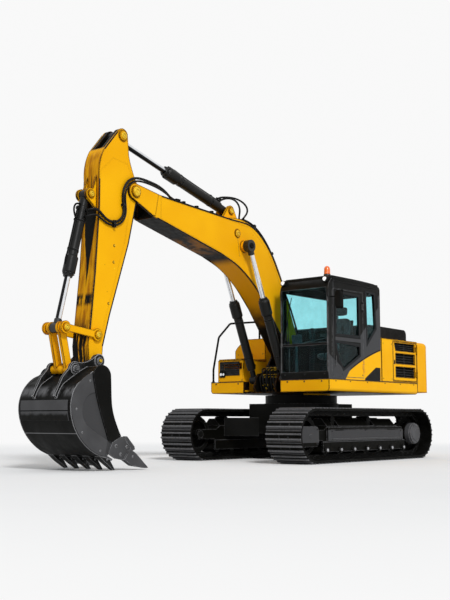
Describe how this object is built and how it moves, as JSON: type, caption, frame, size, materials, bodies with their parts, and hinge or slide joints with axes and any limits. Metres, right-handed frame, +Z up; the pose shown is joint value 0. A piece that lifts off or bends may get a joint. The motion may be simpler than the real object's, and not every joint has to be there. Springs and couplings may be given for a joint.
{
  "type": "crawler excavator",
  "caption": "Yellow crawler excavator with a black cab and tracks, boom, arm and a toothed digging bucket, doors and hood that open.",
  "frame": {"origin": "on the ground under the slew axis", "axes": "+X forward along the boom, +Y to the operator's left, +Z up along the slew axis"},
  "size_m": [8.67, 3.1603, 5.1399],
  "materials": {
    "yellow_paint": "satin",
    "black_paint": "satin",
    "grey_steel": "matte",
    "track_steel": "matte",
    "chrome_rod": "polished",
    "tinted_glass": "glossy",
    "cab_plastic": "matte",
    "seat_fabric": "matte",
    "amber_plastic": "glossy",
    "lamp_glass": "glossy"
  },
  "bodies": {
    "undercarriage": {"car_body": "black_paint", "slew_ring": "black_paint", "track_left": "track_steel", "track_right": "track_steel", "track_frame_left": "black_paint", "track_frame_right": "black_paint", "idler_wheel_left": "track_steel", "idler_wheel_right": "track_steel", "sprocket_left": "track_steel", "sprocket_right": "track_steel", "final_drive_left": "black_paint", "final_drive_right": "black_paint", "bottom_rollers": "track_steel", "carrier_rollers": "track_steel"},
    "house": {"swing_frame": "yellow_paint", "foot_pin": "grey_steel", "counterweight": "yellow_paint", "engine": "black_paint", "side_body_left": "yellow_paint", "side_body_right": "yellow_paint", "hood_seat": "black_paint", "tank": "yellow_paint", "tool_box": "yellow_paint", "handrail": "black_paint", "exhaust": "black_paint", "cab_frame": "black_paint", "cab_roof_cap": "black_paint", "cab_glass": "tinted_glass", "seat": "seat_fabric", "consoles": "cab_plastic", "mirror": "black_paint", "beacon": "amber_plastic", "work_lamps": "lamp_glass"},
    "cab_door_leaf": {"cab_door": "black_paint", "door_glass": "tinted_glass"},
    "left_door_leaf": {"side_door_left": "yellow_paint", "louvres_left": "black_paint"},
    "right_door_leaf": {"side_door_right": "yellow_paint", "louvres_right": "black_paint"},
    "hood_leaf": {"engine_hood": "black_paint"},
    "lid_leaf": {"tool_box_lid": "yellow_paint"},
    "front_boom": {"boom": "yellow_paint", "boom_pipes": "black_paint"},
    "front_arm": {"arm": "yellow_paint"},
    "boom_tubes": {"boom_ram_tube_left": "black_paint", "boom_ram_tube_right": "black_paint"},
    "boom_rods": {"boom_ram_rod_left": "chrome_rod", "boom_ram_rod_right": "chrome_rod"},
    "arm_tube": {"arm_ram_tube": "black_paint"},
    "arm_rod": {"arm_ram_rod": "chrome_rod"},
    "bucket_tube": {"bucket_ram_tube": "black_paint"},
    "bucket_rod": {"bucket_ram_rod": "chrome_rod"},
    "idlers": {"idler_links": "yellow_paint"},
    "link": {"h_link": "yellow_paint"},
    "bucket": {"bucket_shell": "grey_steel", "bucket_wear_plates": "grey_steel", "bucket_teeth": "grey_steel", "side_cutters": "grey_steel", "edge_strips": "black_paint"}
  },
  "joints": [
    {"name": "slew", "type": "hinge", "parent": "undercarriage", "child": "house", "pos_m": [0, 0, 1.15], "axis": [0, 0, 1], "continuous": true},
    {"name": "cab_door_hinge", "type": "hinge", "parent": "house", "child": "cab_door_leaf", "pos_m": [0.01, 1.385, 2.2], "axis": [0, 0, 1], "range_deg": [0, 110]},
    {"name": "left_door_hinge", "type": "hinge", "parent": "house", "child": "left_door_leaf", "pos_m": [-1.878, 1.385, 1.8], "axis": [0, 0, 1], "range_deg": [0, 100]},
    {"name": "right_door_hinge", "type": "hinge", "parent": "house", "child": "right_door_leaf", "pos_m": [-1.878, -1.385, 1.8], "axis": [0, 0, -1], "range_deg": [0, 100]},
    {"name": "hood_hinge", "type": "hinge", "parent": "house", "child": "hood_leaf", "pos_m": [-2.24, 0, 2.21], "axis": [0, -1, 0], "range_deg": [0, 60]},
    {"name": "lid_hinge", "type": "hinge", "parent": "house", "child": "lid_leaf", "pos_m": [0.275, -0.9, 1.836], "axis": [0, -1, 0], "range_deg": [0, 80]},
    {"name": "boom_lift", "type": "hinge", "parent": "house", "child": "front_boom", "pos_m": [0.3, -0.09, 1.87], "axis": [0, -1, 0], "range_deg": [-40, 30]},
    {"name": "arm_swing", "type": "hinge", "parent": "front_boom", "child": "front_arm", "pos_m": [4.469, -0.09, 4.19], "axis": [0, 1, 0], "range_deg": [-47, 40]},
    {"name": "bucket_curl", "type": "hinge", "parent": "front_arm", "child": "bucket", "pos_m": [5.202, -0.09, 1.557], "axis": [0, 1, 0], "range_deg": [-50, 90]},
    {"name": "boom_tube_swing", "type": "hinge", "parent": "house", "child": "boom_tubes", "pos_m": [0.85, -0.09, 1.43], "axis": [0, -1, 0], "range_deg": [-38.5, 29]},
    {"name": "boom_rod_slide", "type": "slide", "parent": "boom_tubes", "child": "boom_rods", "axis": [0.3978, 0, 0.9175], "range_m": [-0.47, 0.36]},
    {"name": "arm_tube_swing", "type": "hinge", "parent": "front_boom", "child": "arm_tube", "pos_m": [2.067, -0.09, 4.295], "axis": [0, 1, 0], "range_deg": [-7.5, 6.5]},
    {"name": "arm_rod_slide", "type": "slide", "parent": "arm_tube", "child": "arm_rod", "axis": [0.9641, 0, 0.2654], "range_m": [-0.61, 0.52]},
    {"name": "idler_swing", "type": "hinge", "parent": "front_arm", "child": "idlers", "pos_m": [5.196, -0.09, 1.938], "axis": [0, 1, 0], "range_deg": [-38.5, 68.5]},
    {"name": "bucket_tube_swing", "type": "hinge", "parent": "front_arm", "child": "bucket_tube", "pos_m": [5.295, -0.09, 4.024], "axis": [0, 1, 0], "range_deg": [-2.7, 4.6]},
    {"name": "bucket_rod_slide", "type": "slide", "parent": "bucket_tube", "child": "bucket_rod", "axis": [0.2432, 0, -0.97], "range_m": [-0.37, 0.66]},
    {"name": "link_swing", "type": "hinge", "parent": "bucket", "child": "link", "pos_m": [5.657, -0.09, 1.425], "axis": [0, 1, 0], "range_deg": [-54, 30]}
  ],
  "couplings": [
    {"joint": "boom_tube_swing", "follows": "boom_lift", "ratio": 0.9489},
    {"joint": "boom_rod_slide", "follows": "boom_lift", "m_per_rad": 0.6626},
    {"joint": "arm_tube_swing", "follows": "arm_swing", "ratio": 0.1515},
    {"joint": "arm_rod_slide", "follows": "arm_swing", "m_per_rad": 0.736},
    {"joint": "idler_swing", "follows": "bucket_curl", "ratio": 0.7564},
    {"joint": "bucket_tube_swing", "follows": "bucket_curl", "ratio": 0.0488},
    {"joint": "bucket_rod_slide", "follows": "bucket_curl", "m_per_rad": 0.4124},
    {"joint": "link_swing", "follows": "bucket_curl", "ratio": -0.589}
  ]
}
